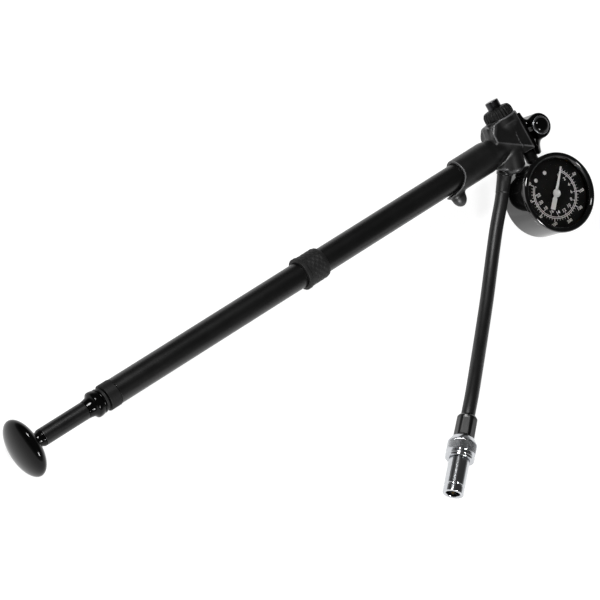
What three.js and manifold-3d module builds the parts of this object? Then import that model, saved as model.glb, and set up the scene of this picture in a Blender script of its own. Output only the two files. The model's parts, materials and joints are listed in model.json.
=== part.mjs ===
// Shock suspension pump: a high-pressure hand pump for air forks and shocks, lying on a table.
// Millimetres, +Z up. The barrel runs along +X, the gauge and hose lie towards -Y.
//
// The pump is drawn in its own frame, which one turned group then lays on the table:
//   x runs along the barrel from the end collar's outer face to the head,
//   -y is the way the dial faces, +z is the way the bleed button points.
// The hose and its chuck are drawn where they lie on the table.

import * as THREE from "three";
import { mergeVertices } from "three/addons/utils/BufferGeometryUtils.js";
import Module from "manifold-3d";

const wasm = await Module();
wasm.setup();

// ---------------------------------------------------------------- driving dimensions

const DEGREE = Math.PI / 180;
const GAP = 0.3; // between pieces that touch
const RUNNING = 0.15; // radial clearance of a sliding piece

// How the pump lies: knob rim, gauge rim and chuck collar touch the table at z = 0.
const BARREL_SLOPE = 2.7; // degrees, head end up
const ROLL = 67.7; // degrees, from the dial facing -Y to the dial facing almost up
const COLLAR_FACE_AT = new THREE.Vector3(-142.95, 19.52, 20.82); // the pump's own origin in the part's frame

const BARREL = { radius: 7.9, bore: 6.9, from: 7.6, to: 300 };
const ROD = 3.0; // piston rod radius
const COLLAR = { radius: 8.2, length: 7.3 };
const BAND = { from: 146.8, to: 164, radius: 10.2 };
const KNOB = { radius: 18.2, half: 6.8, centre: -56 };
const STEM = { radius: 5.3, from: -44.3, to: -13.3 };
const PISTON = { from: 250.3, to: 262, radius: BARREL.bore - GAP };
const HEAD = { radius: 10, mouth: 273.6, end: 328.5, top: 15.7, bottom: -10, front: -8, back: 9 };
const BLEED = { x: 319.9, radius: 9.8, deck: 16 };
const EYE = { x: 338, radius: 8, half: 8 };
const GAUGE = { x: 323.5, z: -40.8, radius: 24.3, bezel: 25, front: -15, back: 12.5, wall: 1.6, stem: 326 };
const NEEDLE = { tip: 17.5, tail: 10.5, rest: 45 }; // reach, and degrees clockwise from the gauge's stem
const SECTOR = { reach: 10.8, pivot: 13, pinion: 1.2 };
const PORT = { from: [317, 1, 0], way: [-0.56, 0.18, -0.81], radius: 6.5, length: 17.5 };

const HOSE = 4.2; // hose radius
const CHUCK = { radius: 6.25, bore: 4.2, collar: 8.75, collarLength: 14, tip: 29, ferrule: 14.5 };
const CHUCK_AT = new THREE.Vector3(24.8, -117.9, 9.3); // middle of the knurled collar
const CHUCK_WAY = new THREE.Vector3(-0.7609, -0.643, -0.0872); // towards the chuck's mouth

// The hose's centre line, from the head's fitting to the ferrule, one point every two diameters or so.
const HOSE_ROUTE = [
  [163.1, 6.4, 24.8],
  [160.9, 3.7, 22.8],
  [154.1, -4.2, 18.0],
  [142.9, -15.2, 12.2],
  [132.3, -25.9, 8.2],
  [121.1, -36.9, 5.7],
  [108.9, -48.3, 4.6],
  [96.0, -59.6, 4.6],
  [81.9, -71.3, 6.2],
  [66.8, -83.2, 9.6],
  [52.7, -94.6, 11.5],
  [44.9, -100.9, 11.6],
  [41.7, -103.6, 11.2],
];

// ---------------------------------------------------------------- helpers

// Colour, roughness and metalness of each finish.
const FINISHES = {
  glossBlack: [0x0b0b0c, 0.12, 0],
  satinBlack: [0x161618, 0.45, 0.5],
  matteBlack: [0x1b1b1c, 0.7, 0],
  rubber: [0x121212, 0.85, 0],
  chrome: [0xc9cbcd, 0.15, 1],
  steel: [0x9a9c9e, 0.3, 1],
  brass: [0xb08d4a, 0.3, 1],
  dial: [0x101011, 0.6, 0],
  white: [0xe8e8e4, 0.5, 0],
  glass: [0xdfe6e6, 0.05, 0],
};

const part = new THREE.Group(); // what is exported
const pump = new THREE.Group(); // the pump's own frame
const tilt = new THREE.Group();
tilt.position.copy(COLLAR_FACE_AT);
tilt.rotation.y = -BARREL_SLOPE * DEGREE;
pump.rotation.x = -ROLL * DEGREE;
tilt.add(pump);
part.add(tilt);

// The hose's end: +x runs from the ferrule to the chuck's mouth, 0 is the middle of the collar.
const chuck = new THREE.Group();
chuck.position.copy(CHUCK_AT);
chuck.quaternion.setFromUnitVectors(new THREE.Vector3(1, 0, 0), CHUCK_WAY.clone().normalize());
part.add(chuck);

function place(group, name, shape, finish) {
  const [color, roughness, metalness] = FINISHES[finish];
  const material = new THREE.MeshStandardMaterial({ color, roughness, metalness });
  if (finish === "glass") {
    material.transparent = true;
    material.opacity = 0.3;
  }
  const mesh = new THREE.Mesh(shape.isBufferGeometry ? shape : geometryOf(shape), material);
  mesh.name = name;
  group.add(mesh);
}

// A closed geometry as a manifold-3d solid, ready for add, subtract and intersect.
function solid(geometry) {
  const bare = geometry.index ? geometry.toNonIndexed() : geometry.clone();
  bare.deleteAttribute("normal");
  bare.deleteAttribute("uv");
  const merged = mergeVertices(bare, 1e-3);
  return new wasm.Manifold(
    new wasm.Mesh({
      numProp: 3,
      vertProperties: new Float32Array(merged.attributes.position.array),
      triVerts: new Uint32Array(merged.index.array),
    }),
  );
}

function geometryOf(manifold) {
  const mesh = manifold.getMesh();
  const geometry = new THREE.BufferGeometry();
  geometry.setAttribute("position", new THREE.BufferAttribute(new Float32Array(mesh.vertProperties), 3));
  geometry.setIndex(new THREE.BufferAttribute(new Uint32Array(mesh.triVerts), 1));
  const flat = geometry.toNonIndexed();
  flat.computeVertexNormals();
  return flat;
}

// A piece turned about the x axis. Profile points are [x, radius]; it starts and ends on the axis,
// or closes on itself to make a ring.
function turned(profile, sides = 32) {
  const points = profile.map(([x, radius]) => new THREE.Vector2(radius, x));
  const solidCore = profile[0][1] === 0 && profile.at(-1)[1] === 0;
  const area = points.reduce((sum, p, i) => sum + p.cross(points[(i + 1) % points.length]), 0);
  if (!solidCore) points.push(points[0].clone());
  if (area < 0) points.reverse();
  return new THREE.LatheGeometry(points, sides).rotateZ(-Math.PI / 2);
}

const rod = (from, to, radius, sides) =>
  turned([[from, 0], [from, radius], [to, radius], [to, 0]], sides);

const tube = (from, to, inner, outer, sides) =>
  turned([[from, inner], [from, outer], [to, outer], [to, inner]], sides);

// A hexagon nut along x, with a round hole.
function hexNut(from, to, hole, corner) {
  const nut = solid(rod(from, to, corner, 6)).subtract(solid(rod(from - 1, to + 1, hole, 20)));
  return geometryOf(nut);
}

// Profile points along an arc about [x, radius], angles in degrees from +x.
function arc(x, radius, size, from, to, steps) {
  return Array.from({ length: steps + 1 }, (_, i) => {
    const angle = (from + ((to - from) * i) / steps) * DEGREE;
    return [x + size * Math.cos(angle), radius + size * Math.sin(angle)];
  });
}

// Turned pieces are drawn along x; these stand them along another axis through a point.
const alongZ = (geometry, x, y) => geometry.rotateY(-Math.PI / 2).translate(x, y, 0);
const alongMinusY = (geometry, x, z) => geometry.rotateZ(-Math.PI / 2).translate(x, 0, z);

// A flat outline in the pump's x and z, thick along y.
function plate(shape, yFrom, yTo, options = {}) {
  const settings = { depth: yTo - yFrom, bevelEnabled: false, curveSegments: 8, ...options };
  return new THREE.ExtrudeGeometry(shape, settings).rotateX(Math.PI / 2).translate(0, yTo, 0);
}

function disc(x, z, radius) {
  const shape = new THREE.Shape();
  shape.absarc(x, z, radius, 0, 2 * Math.PI, false);
  return shape;
}

// ---------------------------------------------------------------- handle and piston

function addHandle() {
  const rodBore = ROD + GAP;

  // A flattened ball with a flared hub behind it, bored for the rod's end.
  const ball = [];
  for (let i = 0; i <= 10; i++) {
    const angle = (180 - i * 16.6) * DEGREE;
    ball.push([KNOB.centre + KNOB.half * Math.cos(angle), KNOB.radius * Math.sin(angle)]);
  }
  const hub = [[-49.25, 4.1], [-47.4, 4.25], [-45.6, 4.8], [-44.9, 5.3], [STEM.from, 5.3]];
  const rodSocket = [[STEM.from, rodBore], [-52.3, rodBore], [-52.3, 0]];
  place(pump, "palm_knob", turned([...ball, ...hub, ...rodSocket], 36), "glossBlack");

  place(pump, "handle_stem", tube(STEM.from + GAP, STEM.to - GAP, rodBore, STEM.radius, 28), "satinBlack");

  // The flared bell that closes against the end collar.
  const flare = arc(STEM.to, 10.6, 5.3, -90, -30, 5);
  const rim = [[-8.0, 8.05], [-7.4, 8.05], [-6.4, 8.0], [-5.2, 7.85], [-4.8, 7.6], [-4.0, 7.5]];
  place(pump, "handle_bell", turned([[STEM.to, rodBore], ...flare, ...rim, [-4.0, rodBore]], 28), "glossBlack");
  place(pump, "stop_ring", tube(-3.7, -2.4, rodBore, 7.55, 36), "glossBlack");
  place(pump, "bumper_washer", tube(-2.1, -GAP, rodBore, 6.9, 28), "rubber");

  // The rod ends in a spigot that takes the piston and its nut.
  const spigot = 1.5;
  const nutEnd = PISTON.to + 3.4;
  place(
    pump,
    "piston_rod",
    turned([[-52, 0], [-52, ROD], [250, ROD], [250, spigot], [nutEnd, spigot], [nutEnd, 0]], 20),
    "steel",
  );
  const groove = [[254.8, PISTON.radius], [254.8, 5], [257.6, 5], [257.6, PISTON.radius]];
  const piston = [
    [PISTON.from, spigot + GAP],
    [PISTON.from, PISTON.radius],
    ...groove,
    [PISTON.to, PISTON.radius],
    [PISTON.to, spigot + GAP],
  ];
  place(pump, "piston_head", turned(piston, 28), "brass");
  place(pump, "piston_seal", turned(arc(256.2, 5.95, 0.8, 0, 300, 5), 28), "rubber");
  place(pump, "piston_nut", hexNut(PISTON.to + GAP, PISTON.to + 2.8, spigot + GAP, 3.2), "steel");
}

// ---------------------------------------------------------------- barrel

function addBarrel() {
  const bushSeat = 4.6;
  const collar = [
    [0, bushSeat],
    [0, COLLAR.radius - 0.4],
    [0.4, COLLAR.radius],
    [COLLAR.length - 0.3, COLLAR.radius],
    [COLLAR.length, COLLAR.radius - 0.3],
    [COLLAR.length, BARREL.bore - GAP],
    [16, BARREL.bore - GAP],
    [16, bushSeat],
  ];
  place(pump, "end_collar", turned(collar, 28), "matteBlack");
  place(pump, "rod_wiper", tube(0.4, 2.6, ROD + RUNNING, bushSeat - GAP, 24), "rubber");
  place(pump, "guide_bush", tube(2.9, 15.6, ROD + RUNNING, bushSeat - GAP, 24), "white");
  place(pump, "barrel", tube(BARREL.from, BARREL.to, BARREL.bore, BARREL.radius, 36), "satinBlack");

  // A rubber band with a square lip towards the handle and a rounded shoulder towards the head.
  const bandBore = BARREL.radius + GAP;
  const band = [
    [BAND.from, bandBore],
    [BAND.from, BAND.radius - 0.3],
    [BAND.from + 0.3, BAND.radius],
    [BAND.from + 2.6, BAND.radius],
    [BAND.from + 3.0, BAND.radius - 0.5],
    [BAND.to - 3.2, BAND.radius - 0.5],
    ...arc(BAND.to - 1.9, BAND.radius - 2.2, 1.7, 80, 0, 4),
    [BAND.to - GAP, bandBore],
  ];
  place(pump, "grip_band", turned(band, 28), "rubber");
}

// ---------------------------------------------------------------- head casting and valves

// Stands a turned piece along a line, its x measured from the line's root.
function alongLine(geometry, root, way) {
  const direction = new THREE.Vector3(...way).normalize();
  const turn = new THREE.Quaternion().setFromUnitVectors(new THREE.Vector3(1, 0, 0), direction);
  return geometry.applyQuaternion(turn).translate(...root);
}

const alongPort = (geometry) => alongLine(geometry, PORT.from, PORT.way);

function headBody() {
  // The sleeve over the barrel, its lower side swept forward as a tongue.
  const tongueTip = 261;
  const sleeve = solid(tube(HEAD.mouth, 312, 3, HEAD.radius, 36));
  const tongue = solid(tube(tongueTip, HEAD.mouth + 4, 3, HEAD.radius, 36));
  const scoop = solid(plate(disc(tongueTip + 0.6, 3, 12), -20, 20));
  const above = solid(new THREE.BoxGeometry(40, 40, 20).translate(264, 0, 13));
  const lug = new THREE.Shape();
  lug.moveTo(261.6, -8.4);
  lug.bezierCurveTo(261.2, -11, 262, -17.6, 267.4, -17.6);
  lug.bezierCurveTo(271.4, -17.6, 271.6, -12, 274, -8.4);
  lug.closePath();

  // The block that carries the bleed valve above the sleeve's axis and the ports below it.
  const block = new THREE.Shape();
  block.moveTo(304, -HEAD.radius + 1);
  block.quadraticCurveTo(306, HEAD.bottom, 309, HEAD.bottom);
  block.lineTo(HEAD.end, HEAD.bottom);
  block.lineTo(HEAD.end, HEAD.top);
  block.lineTo(311, HEAD.top);
  block.quadraticCurveTo(306, 13, 303, 8);
  block.closePath();
  const bevelled = { bevelEnabled: true, bevelThickness: 1, bevelSize: 0.8, bevelOffset: -0.8, bevelSegments: 2 };
  const ports = [
    solid(plate(block, HEAD.front + 1, HEAD.back - 1, bevelled)),
    solid(alongZ(rod(-2, BLEED.deck, BLEED.radius, 32), BLEED.x, 0)),
    solid(alongPort(turned([[0, 0], [0, 6.9], [10, 6.9], [15, PORT.radius], [16.8, 6.2], [17.5, 5.4], [17.5, 0]], 28))),
  ];
  let body = tongue.subtract(scoop).subtract(above).add(sleeve).add(solid(plate(lug, -4, 4)));
  for (const piece of ports) body = body.add(piece);

  // A saddle beside the port reaches down to the gauge's case. It stops short of the case, the end cap
  // and the hose.
  let saddle = solid(alongLine(rod(0, 17, 6.2, 28), [317, 0, -2], [-0.3, 0, -0.95]));
  saddle = saddle.subtract(solid(alongMinusY(rod(-20, 20, GAUGE.bezel + GAP, 44), GAUGE.x, GAUGE.z)));
  saddle = saddle.subtract(solid(new THREE.BoxGeometry(20, 60, 30).translate(329.4, 0, HEAD.bottom - 15)));
  saddle = saddle.subtract(solid(alongPort(rod(PORT.length - 0.5, 28, 5.8, 28))));
  body = body.add(saddle);
  body = body.subtract(solid(new THREE.BoxGeometry(20, 60, 60).translate(HEAD.end + 10, 0, 0)));

  // Bores: the barrel's socket, the air chamber, the bleed valve, the hose port and the cap's port.
  const cuts = [
    rod(tongueTip - 1, BARREL.to + GAP, BARREL.radius + GAP, 36),
    rod(BARREL.to, 321, 3.8, 24),
    alongZ(turned([[0, 0], [0, 3.2], [6.5, 3.2], [6.5, 5.5], [20, 5.5], [20, 0]], 24), BLEED.x, 0),
    alongPort(turned([[1, 0], [1, 2], [8, 2], [8, 4.5], [20, 4.5], [20, 0]], 24)),
    rod(320, HEAD.end + 1, 2, 16),
  ];
  for (const cut of cuts) body = body.subtract(solid(cut));
  return body;
}

function addHead() {
  place(pump, "head_body", headBody(), "matteBlack");

  // One-way valve in the barrel's mouth: a brass plug with its O-ring and a rubber duckbill.
  const plugRadius = BARREL.bore - GAP;
  const plug = [
    [287, 1.5],
    [287, plugRadius],
    [290.6, plugRadius],
    [290.6, 5],
    [293.4, 5],
    [293.4, plugRadius],
    [299.7, plugRadius],
    [299.7, 1.5],
  ];
  place(pump, "check_valve_seat", turned(plug, 28), "brass");
  place(pump, "seat_o_ring", turned(arc(292, 5.85, 0.75, 0, 300, 5), 28), "rubber");
  const duckbill = [[300.0, 1.2], [300.0, 3.5], [302, 3.5], [307, 1.6], [307, 0.6], [302, 1.2]];
  place(pump, "check_valve_cup", turned(duckbill, 20), "rubber");

  // Bleed valve: a domed knurled cap screwed into the boss, with a sprung button through it.
  const cap = [
    [9, 2.4],
    [9, 5.2],
    [BLEED.deck + GAP, 5.2],
    [BLEED.deck + GAP, 8.9],
    [BLEED.deck + 0.9, 9.6],
    [19.6, 9.6],
    ...arc(19.4, 6.4, 3.2, 80, 10, 4),
    [22.8, 6.2],
    [22.8, 4.7],
    [13.4, 4.7],
    [13.4, 2.4],
  ];
  place(pump, "bleed_cap", alongZ(turned(cap, 28), BLEED.x, 0), "matteBlack");
  const seat = tube(6.8, 8.7, 1.6, 5.2, 24);
  place(pump, "bleed_seat", alongZ(seat, BLEED.x, 0), "brass");
  const button = [[5.8, 0], [5.8, 1.2], [20.2, 1.2], [20.2, 4.35], [27.2, 4.35], [27.9, 3.7], [27.9, 0]];
  place(pump, "bleed_button", alongZ(turned(button, 28), BLEED.x, 0), "satinBlack");
  place(pump, "bleed_poppet", alongZ(rod(4, 5.5, 2.6, 20), BLEED.x, 0), "rubber");

  // The return spring, four turns between the cap's ledge and the button.
  class Helix extends THREE.Curve {
    getPoint(t, target = new THREE.Vector3()) {
      const angle = 2 * Math.PI * 4 * t;
      const height = 14.0 + 5.6 * t;
      return target.set(3.1 * Math.cos(angle), 3.1 * Math.sin(angle), height);
    }
  }
  const wire = disc(0, 0, 0.35);
  const coil = new THREE.ExtrudeGeometry(wire, {
    steps: 56,
    curveSegments: 3,
    extrudePath: new Helix(),
    bevelEnabled: false,
  });
  place(pump, "bleed_spring", coil.translate(BLEED.x, 0, 0), "steel");
}

// ---------------------------------------------------------------- end cap that carries the gauge

function addEndCap() {
  const face = HEAD.end + GAP;
  const outline = new THREE.Shape();
  outline.moveTo(face, 12.6);
  outline.quadraticCurveTo(face + 2.6, 8.6, 333.4, 6.55);
  for (let angle = 120; angle >= -60; angle -= 12) {
    outline.lineTo(
      EYE.x + EYE.radius * Math.cos(angle * DEGREE),
      EYE.radius * Math.sin(angle * DEGREE),
    );
  }
  outline.quadraticCurveTo(334.6, -9.6, 333.4, -15.2);
  outline.lineTo(319.6, -15.2);
  outline.lineTo(319.6, -11.4);
  outline.quadraticCurveTo(320, HEAD.bottom - GAP, 322, HEAD.bottom - GAP);
  outline.lineTo(face, HEAD.bottom - GAP);
  outline.closePath();
  let cap = solid(plate(outline, -5.8, 5.8));
  cap = cap.add(solid(alongMinusY(rod(-EYE.half, EYE.half, EYE.radius, 32), EYE.x, 0)));
  cap = cap.subtract(solid(alongMinusY(rod(-EYE.half - 1, EYE.half + 1, 3.1, 20), EYE.x, 0)));
  cap = cap.subtract(solid(rod(-30, -9.4, 4.3, 24).rotateY(-Math.PI / 2).translate(GAUGE.stem, 0, 0)));
  cap = cap.subtract(solid(rod(face - 1, 334, 2, 16)));
  cap = cap.subtract(solid(new THREE.BoxGeometry(4, 3, 9).translate(331, 0, -5)));
  place(pump, "end_cap", cap, "glossBlack");

  // The screw that clamps the cap, drawn along -y: dome, washer in front, nut behind.
  const dome = arc(EYE.half + 1.6, 0, 4.9, 0, 90, 5).map(([y, r]) => [EYE.half + 1.6 + (y - EYE.half - 1.6) * 0.6, r]);
  const screw = [...dome, [EYE.half + 1.6, 2.8], [-EYE.half - 4.2, 2.8], [-EYE.half - 4.2, 0]];
  screw[0][1] = 0;
  place(pump, "cap_screw", alongMinusY(turned(screw, 28), EYE.x, 0), "glossBlack");
  place(pump, "cap_washer", alongMinusY(tube(EYE.half + GAP, EYE.half + 1.3, 3.1, 5.8, 28), EYE.x, 0), "steel");
  const nut = hexNut(-EYE.half - 3.6, -EYE.half - GAP, 3.1, 5.6);
  place(pump, "cap_nut", alongMinusY(nut, EYE.x, 0), "steel");
}

// ---------------------------------------------------------------- gauge

// Turned pieces of the gauge share its axis; their x is the reach towards the dial's front.
const onGauge = (geometry) => alongMinusY(geometry, GAUGE.x, GAUGE.z);

// A flat gauge piece: the outline is drawn about the gauge's centre with +z towards the stem.
function gaugePlate(shape, from, to) {
  return plate(shape, -to, -from).translate(GAUGE.x, 0, GAUGE.z);
}

function addGauge() {
  const back = -GAUGE.back;
  const front = -GAUGE.front;
  const inner = GAUGE.radius - GAUGE.wall;
  const profile = [
    [back, 0],
    [back, GAUGE.radius - 0.7],
    [back + 0.7, GAUGE.radius],
    [front - 4.4, GAUGE.radius],
    [front - 4.4, inner],
    [back + 2, inner],
    [back + 2, 0],
  ];
  const stemHole = rod(-30, -10, 4.3, 24).rotateY(-Math.PI / 2).translate(GAUGE.stem, 0, 0);
  place(pump, "gauge_case", solid(onGauge(turned(profile, 44))).subtract(solid(stemHole)), "glossBlack");

  const bezel = [
    [front - 4.1, inner],
    [front - 4.1, 24.6],
    [front - 3.6, GAUGE.bezel],
    [front - 0.8, GAUGE.bezel],
    [front, 24.2],
    [front, 22.4],
    [front - 1.2, 21.6],
    [front - 1.8, 21.6],
    [front - 1.8, inner],
  ];
  place(pump, "gauge_bezel", onGauge(turned(bezel, 44)), "glossBlack");
  place(pump, "gauge_lens", onGauge(rod(front - 3.4, front - 2.1, inner - GAP, 36)), "glass");

  // Dial, and the needle's shaft through it.
  const dialAt = front - 6.6;
  place(pump, "gauge_dial", onGauge(tube(dialAt - 0.8, dialAt, 1.2, inner - GAP, 36)), "dial");
  const pointer = new THREE.Shape();
  pointer.moveTo(-0.35, NEEDLE.tip);
  pointer.lineTo(0.35, NEEDLE.tip);
  pointer.lineTo(0.9, 2);
  pointer.lineTo(0.9, -2);
  pointer.lineTo(1.5, -3.5);
  pointer.lineTo(1.5, -NEEDLE.tail);
  pointer.lineTo(-1.5, -NEEDLE.tail);
  pointer.lineTo(-1.5, -3.5);
  pointer.lineTo(-0.9, -2);
  pointer.lineTo(-0.9, 2);
  pointer.closePath();
  const turn = (shape, degrees) => {
    const cos = Math.cos(-degrees * DEGREE);
    const sin = Math.sin(-degrees * DEGREE);
    const corner = ({ x, y }) => new THREE.Vector2(x * cos - y * sin, x * sin + y * cos);
    return new THREE.Shape(shape.getPoints(4).map(corner));
  };
  place(pump, "gauge_needle", gaugePlate(turn(pointer, NEEDLE.rest), dialAt + 1.1, dialAt + 1.6), "white");
  const hub = [[dialAt + 1.9, 0], [dialAt + 1.9, 2.5], [dialAt + 2.4, 2.5], [dialAt + 2.9, 1.8], [dialAt + 2.9, 0]];
  place(pump, "needle_hub", onGauge(turned(hub, 24)), "white");
  const pinion = SECTOR.pinion;
  const shaft = [
    [dialAt - 9.4, 0],
    [dialAt - 9.4, 0.7],
    [dialAt - 6.6, 0.7],
    [dialAt - 6.6, pinion],
    [dialAt - 4.6, pinion],
    [dialAt - 4.6, 0.7],
    [dialAt + 0.8, 0.7],
    [dialAt + 0.8, 0],
  ];
  place(pump, "needle_shaft", onGauge(turned(shaft, 16)), "steel");

  // Movement: two plates on pillars, a toothed sector that turns the needle's pinion, and the tube.
  const plateShape = () => {
    const shape = new THREE.Shape();
    shape.moveTo(-5, -SECTOR.pivot - 2);
    shape.lineTo(5, -SECTOR.pivot - 2);
    shape.lineTo(8, 4);
    shape.lineTo(-8, 4);
    shape.closePath();
    const shaftHole = new THREE.Path();
    shaftHole.absarc(0, 0, 1, 0, 2 * Math.PI, true);
    const pivotHole = new THREE.Path();
    pivotHole.absarc(0, -SECTOR.pivot, 1.2, 0, 2 * Math.PI, true);
    shape.holes.push(shaftHole, pivotHole);
    return shape;
  };
  let frame = solid(gaugePlate(plateShape(), dialAt - 3.6, dialAt - 2.6));
  frame = frame.add(solid(gaugePlate(plateShape(), dialAt - 8.6, dialAt - 7.6)));
  for (const x of [-6, 6]) {
    const pillar = rod(dialAt - 8.2, dialAt - 3, 0.9, 12);
    frame = frame.add(solid(alongMinusY(pillar, GAUGE.x + x, GAUGE.z + 3)));
  }
  place(pump, "movement_frame", frame, "brass");

  const sector = new THREE.Shape();
  const half = 24; // degrees each side of the line to the pinion at mid travel
  const rest = 15; // degrees the sector stands short of mid travel at zero pressure
  const reach = SECTOR.reach + 0.7;
  sector.moveTo(-1.6, -2.4);
  sector.lineTo(1.6, -2.4);
  for (let angle = 90 - half - rest; angle <= 90 + half - rest; angle += 6) {
    sector.lineTo(reach * Math.cos(angle * DEGREE), reach * Math.sin(angle * DEGREE));
  }
  sector.closePath();
  let gear = solid(gaugePlate(sector, dialAt - 6.2, dialAt - 5).translate(0, 0, -SECTOR.pivot));
  gear = gear.add(solid(alongMinusY(rod(dialAt - 8.9, dialAt - 2.3, 0.95, 16), GAUGE.x, GAUGE.z - SECTOR.pivot)));
  place(pump, "movement_sector", gear, "brass");

  // The bent pressure tube behind the movement, and the stem that feeds it.
  class Bourdon extends THREE.Curve {
    getPoint(t, target = new THREE.Vector3()) {
      const angle = (62 - 285 * t) * DEGREE;
      return target.set(18.2 * Math.cos(angle), 18.2 * Math.sin(angle), 0);
    }
  }
  const oval = new THREE.Shape();
  oval.absellipse(0, 0, 1.5, 2.6, 0, 2 * Math.PI, false);
  const bent = new THREE.ExtrudeGeometry(oval, {
    steps: 30,
    curveSegments: 5,
    extrudePath: new Bourdon(),
    bevelEnabled: false,
  });
  bent.rotateX(Math.PI / 2).translate(GAUGE.x, 3.9, GAUGE.z);
  place(pump, "bourdon_tube", bent, "brass");
  const stem = rod(-22.4, -10, 4, 24).rotateY(-Math.PI / 2).translate(GAUGE.stem, 0, 0);
  place(pump, "gauge_stem", stem, "satinBlack");
}

// ---------------------------------------------------------------- hose and chuck

function addHose() {
  // The fitting's spigot is screwed into the port and its collar holds the hose.
  const fitting = [
    [8.3, 1.8],
    [8.3, 4.2],
    [PORT.length + GAP, 4.2],
    [PORT.length + GAP, 5.2],
    [19.7, 5.0],
    [19.7, 1.8],
  ];
  place(pump, "hose_fitting", alongPort(turned(fitting, 28)), "satinBlack");

  const section = new THREE.Shape();
  section.absarc(0, 0, HOSE, 0, 2 * Math.PI, false);
  const route = new THREE.CatmullRomCurve3(HOSE_ROUTE.map((point) => new THREE.Vector3(...point)));
  const hose = new THREE.ExtrudeGeometry(section, {
    steps: 24,
    curveSegments: 12,
    extrudePath: route,
    bevelEnabled: false,
  });
  place(part, "hose", hose, "rubber");

  // The crimped ferrule, then the chuck that turns on it.
  const half = CHUCK.collarLength / 2;
  const ferruleEnd = -half - GAP;
  const ferruleStart = ferruleEnd - CHUCK.ferrule;
  const spigot = 3.4;
  const ferrule = [
    [ferruleStart, 0],
    [ferruleStart, 5.4],
    [ferruleStart + 0.8, CHUCK.radius],
    [ferruleEnd - 0.5, CHUCK.radius],
    [ferruleEnd, CHUCK.radius - 0.5],
    [ferruleEnd, spigot],
    [2, spigot],
    [2, 0],
  ];
  place(chuck, "hose_ferrule", turned(ferrule, 28), "satinBlack");

  const collarBore = spigot + RUNNING;
  const sleeveSeat = 5.6;
  const collar = [
    [-half, collarBore],
    [-half, CHUCK.collar - 1.9],
    [-half + 3.2, CHUCK.collar],
    [half - 4.2, CHUCK.collar],
    [half - 3.8, CHUCK.collar - 0.5],
    [half - 3.2, CHUCK.collar - 0.5],
    [half - 2.8, CHUCK.collar],
    [half - 0.5, CHUCK.collar],
    [half, CHUCK.collar - 0.5],
    [half, sleeveSeat],
    [2.3, sleeveSeat],
    [2.3, collarBore],
  ];
  place(chuck, "knurled_collar", turned(collar, 32), "chrome");

  const sleeve = [
    [2.6, 2.2],
    [2.6, sleeveSeat - GAP],
    [half + GAP, sleeveSeat - GAP],
    [half + GAP, CHUCK.radius],
    [CHUCK.tip - 3.4, CHUCK.radius],
    [CHUCK.tip - 3, CHUCK.radius - 0.4],
    [CHUCK.tip - 2.4, CHUCK.radius - 0.4],
    [CHUCK.tip - 2, CHUCK.radius],
    [CHUCK.tip - 0.4, CHUCK.radius],
    [CHUCK.tip, CHUCK.radius - 0.4],
    [CHUCK.tip, CHUCK.bore],
    [10, CHUCK.bore],
    [10, 2.2],
  ];
  place(chuck, "chuck_sleeve", turned(sleeve, 28), "chrome");
  place(chuck, "chuck_seal", tube(10.3, 12.3, 1.7, CHUCK.bore - GAP, 24), "rubber");
  place(chuck, "chuck_pin", turned([[4, 0], [4, 1.2], [20.8, 1.2], [21.5, 0.7], [21.5, 0]], 16), "brass");
}

addHandle();
addBarrel();
addHead();
addEndCap();
addGauge();
addHose();

export default part;
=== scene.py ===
# %% [markdown]
# A shock pump on a table. It is a slim air pump for bicycle forks: a palm knob on a sliding handle, a
# long barrel, and a small cast head that carries a bleed button, a round gauge and a hose with a
# chrome chuck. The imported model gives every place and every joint. This lesson gives the pieces the
# surfaces they have on the real object.

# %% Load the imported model
import json
import math

import bmesh
import bpy
import numpy as np
from mathutils import Matrix, Vector

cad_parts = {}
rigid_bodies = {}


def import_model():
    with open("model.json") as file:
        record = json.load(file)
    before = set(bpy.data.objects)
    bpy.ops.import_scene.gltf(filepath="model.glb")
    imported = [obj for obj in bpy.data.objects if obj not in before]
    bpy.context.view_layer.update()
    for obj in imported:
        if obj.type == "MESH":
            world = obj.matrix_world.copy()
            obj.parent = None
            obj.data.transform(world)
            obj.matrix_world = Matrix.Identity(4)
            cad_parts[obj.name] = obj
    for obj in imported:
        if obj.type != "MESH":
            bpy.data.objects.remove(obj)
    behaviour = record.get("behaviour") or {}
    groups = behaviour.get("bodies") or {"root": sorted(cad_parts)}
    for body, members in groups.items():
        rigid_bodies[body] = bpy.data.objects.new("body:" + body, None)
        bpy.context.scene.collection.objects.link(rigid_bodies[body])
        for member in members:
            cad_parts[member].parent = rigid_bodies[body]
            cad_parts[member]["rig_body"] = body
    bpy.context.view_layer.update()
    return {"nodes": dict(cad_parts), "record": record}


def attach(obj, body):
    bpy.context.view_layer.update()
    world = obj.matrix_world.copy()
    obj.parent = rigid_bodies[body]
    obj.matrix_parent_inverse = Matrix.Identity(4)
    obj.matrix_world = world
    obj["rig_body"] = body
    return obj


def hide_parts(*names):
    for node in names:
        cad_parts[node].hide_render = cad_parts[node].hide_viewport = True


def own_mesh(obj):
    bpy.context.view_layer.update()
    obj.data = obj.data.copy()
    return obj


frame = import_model()

# %% [markdown]
# Most of the pump is turned about one axis, so it is easiest to draw in a frame of its own: x along the
# barrel from the end collar's face, the dial facing -y, the bleed button pointing along +z, all in
# millimetres. One matrix then lays it on the table, on its knob, its gauge and its chuck.

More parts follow.
